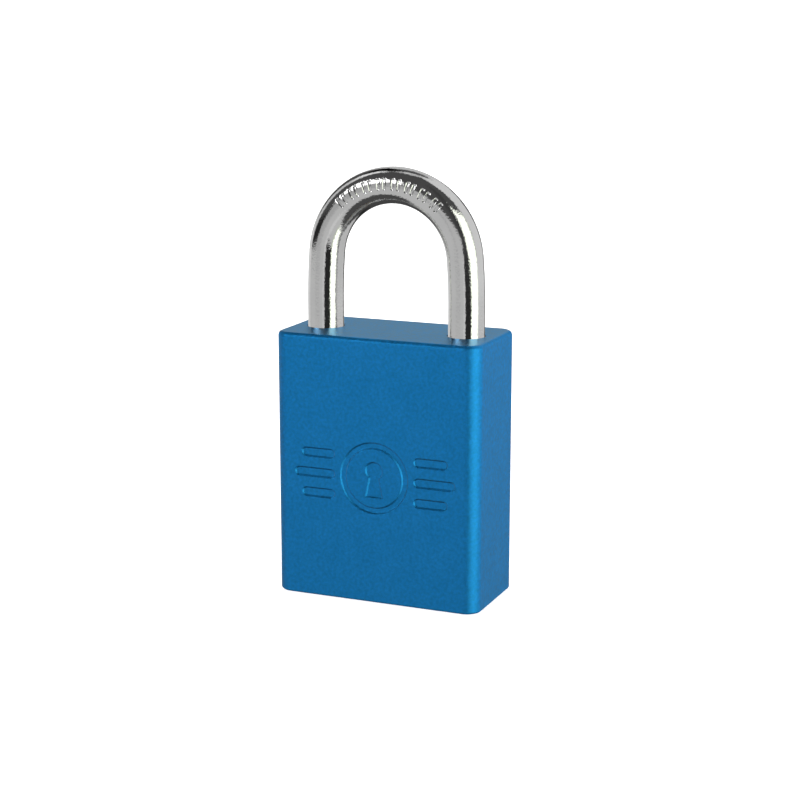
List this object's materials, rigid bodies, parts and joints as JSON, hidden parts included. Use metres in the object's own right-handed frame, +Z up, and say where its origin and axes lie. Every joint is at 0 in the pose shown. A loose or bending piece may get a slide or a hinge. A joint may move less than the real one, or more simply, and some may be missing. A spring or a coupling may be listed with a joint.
{
  "type": "safety padlock",
  "caption": "Lockout padlock with a solid blue anodised aluminium body, a round chromed shackle held by steel balls, and a pin tumbler key cylinder in its underside.",
  "frame": {"origin": "centre of the body's bottom face", "axes": "+Z up along the shackle, +X towards the toe leg, front face towards -Y"},
  "size_m": [0.0382, 0.019, 0.0755],
  "materials": {
    "anodised_aluminium": "blue anodised, satin",
    "chromed_steel": "bright chrome plate over hardened steel",
    "ball_steel": "polished hardened steel",
    "zinc_plated_steel": "zinc-plated, matt",
    "brass": "machined brass",
    "plug_brass": "nickel-plated brass, turned",
    "nickel_silver": "turned nickel silver",
    "spring_steel": "drawn spring wire and strip"
  },
  "bodies": {
    "case": {"body": "anodised_aluminium", "cylinder_shell": "brass", "spring_cover": "brass", "retaining_screw": "zinc_plated_steel", "shackle_spring": "spring_steel", "pin_spring_1": "spring_steel", "pin_spring_2": "spring_steel", "pin_spring_3": "spring_steel", "pin_spring_4": "spring_steel", "pin_spring_5": "spring_steel", "pin_spring_6": "spring_steel"},
    "plug": {"plug": "plug_brass", "plug_clip": "spring_steel"},
    "actuator": {"actuator": "zinc_plated_steel"},
    "toe_ball": {"toe_ball": "ball_steel"},
    "heel_ball": {"heel_ball": "ball_steel"},
    "shackle": {"shackle": "chromed_steel"},
    "bottom_pin_1": {"bottom_pin_1": "nickel_silver"},
    "bottom_pin_2": {"bottom_pin_2": "nickel_silver"},
    "bottom_pin_3": {"bottom_pin_3": "nickel_silver"},
    "bottom_pin_4": {"bottom_pin_4": "nickel_silver"},
    "bottom_pin_5": {"bottom_pin_5": "nickel_silver"},
    "bottom_pin_6": {"bottom_pin_6": "nickel_silver"},
    "driver_pin_1": {"driver_pin_1": "brass"},
    "driver_pin_2": {"driver_pin_2": "brass"},
    "driver_pin_3": {"driver_pin_3": "brass"},
    "driver_pin_4": {"driver_pin_4": "brass"},
    "driver_pin_5": {"driver_pin_5": "brass"},
    "driver_pin_6": {"driver_pin_6": "brass"}
  },
  "joints": [
    {"name": "plug_turn", "type": "hinge", "parent": "case", "child": "plug", "pos_m": [0, 0, 0.015], "axis": [0, 0, 1], "range_deg": [0, 90]},
    {"name": "actuator_turn", "type": "hinge", "parent": "case", "child": "actuator", "pos_m": [0, 0, 0.038], "axis": [0, 0, 1], "range_deg": [0, 90]},
    {"name": "toe_ball_slide", "type": "slide", "parent": "case", "child": "toe_ball", "axis": [-1, 0, 0], "range_m": [0, 0.0028]},
    {"name": "heel_ball_slide", "type": "slide", "parent": "case", "child": "heel_ball", "axis": [1, 0, 0], "range_m": [0, 0.0004]},
    {"name": "shackle_lift", "type": "slide", "parent": "case", "child": "shackle", "axis": [0, 0, 1], "range_m": [0, 0.011], "deforming": ["shackle_spring"]},
    {"name": "bottom_pin_1_slide", "type": "slide", "parent": "plug", "child": "bottom_pin_1", "axis": [1, 0, 0], "range_m": [-0.003, 0]},
    {"name": "bottom_pin_2_slide", "type": "slide", "parent": "plug", "child": "bottom_pin_2", "axis": [1, 0, 0], "range_m": [-0.00165, 0]},
    {"name": "bottom_pin_3_slide", "type": "slide", "parent": "plug", "child": "bottom_pin_3", "axis": [1, 0, 0], "range_m": [-0.00255, 0]},
    {"name": "bottom_pin_4_slide", "type": "slide", "parent": "plug", "child": "bottom_pin_4", "axis": [1, 0, 0], "range_m": [-0.0012, 0]},
    {"name": "bottom_pin_5_slide", "type": "slide", "parent": "plug", "child": "bottom_pin_5", "axis": [1, 0, 0], "range_m": [-0.00345, 0]},
    {"name": "bottom_pin_6_slide", "type": "slide", "parent": "plug", "child": "bottom_pin_6", "axis": [1, 0, 0], "range_m": [-0.0021, 0]},
    {"name": "driver_pin_1_slide", "type": "slide", "parent": "case", "child": "driver_pin_1", "axis": [1, 0, 0], "range_m": [-0.003, 0]},
    {"name": "driver_pin_2_slide", "type": "slide", "parent": "case", "child": "driver_pin_2", "axis": [1, 0, 0], "range_m": [-0.00165, 0]},
    {"name": "driver_pin_3_slide", "type": "slide", "parent": "case", "child": "driver_pin_3", "axis": [1, 0, 0], "range_m": [-0.00255, 0]},
    {"name": "driver_pin_4_slide", "type": "slide", "parent": "case", "child": "driver_pin_4", "axis": [1, 0, 0], "range_m": [-0.0012, 0]},
    {"name": "driver_pin_5_slide", "type": "slide", "parent": "case", "child": "driver_pin_5", "axis": [1, 0, 0], "range_m": [-0.00345, 0]},
    {"name": "driver_pin_6_slide", "type": "slide", "parent": "case", "child": "driver_pin_6", "axis": [1, 0, 0], "range_m": [-0.0021, 0]}
  ],
  "couplings": [
    {"joint": "plug_turn", "follows": "shackle_lift", "rad_per_m": 142.8},
    {"joint": "actuator_turn", "follows": "shackle_lift", "rad_per_m": 142.8},
    {"joint": "toe_ball_slide", "follows": "shackle_lift", "ratio": 0.25455},
    {"joint": "heel_ball_slide", "follows": "shackle_lift", "ratio": 0.036364},
    {"joint": "driver_pin_1_slide", "follows": "bottom_pin_1_slide", "ratio": 1},
    {"joint": "driver_pin_2_slide", "follows": "bottom_pin_2_slide", "ratio": 1},
    {"joint": "driver_pin_3_slide", "follows": "bottom_pin_3_slide", "ratio": 1},
    {"joint": "driver_pin_4_slide", "follows": "bottom_pin_4_slide", "ratio": 1},
    {"joint": "driver_pin_5_slide", "follows": "bottom_pin_5_slide", "ratio": 1},
    {"joint": "driver_pin_6_slide", "follows": "bottom_pin_6_slide", "ratio": 1}
  ]
}
